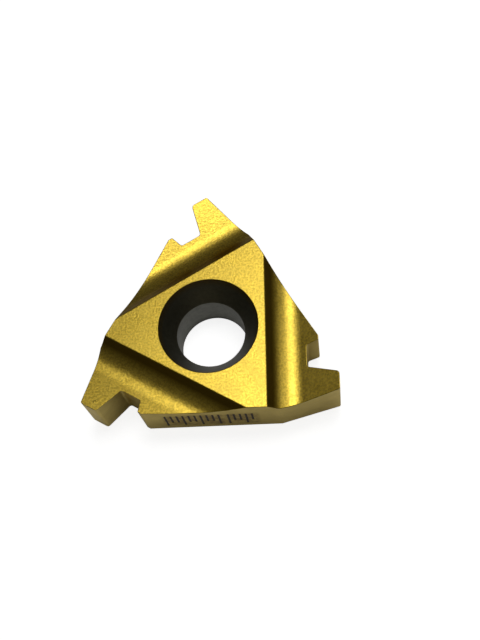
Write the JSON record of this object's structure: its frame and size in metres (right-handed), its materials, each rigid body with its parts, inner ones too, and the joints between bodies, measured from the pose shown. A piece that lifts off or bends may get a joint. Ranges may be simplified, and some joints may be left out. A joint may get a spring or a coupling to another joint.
{
  "type": "threading insert",
  "caption": "Triangular coated carbide laydown insert that turns an internal trapezoidal thread, with a full-profile tooth at each corner and a countersunk screw hole.",
  "frame": {"origin": "on the axis of the screw hole, in the ground seat face", "axes": "+Z along the screw hole towards the rake side, +X along the axis of one cutting tooth, parallel to the side that it stands on"},
  "size_m": [0.0184, 0.0169, 0.0048],
  "materials": {
    "coated_carbide": "gold titanium nitride coat: blasted satin on the rake side, smooth ground sides, bare grey seat face"
  },
  "bodies": {
    "root": {"threading_insert": "coated_carbide"}
  },
  "joints": []
}
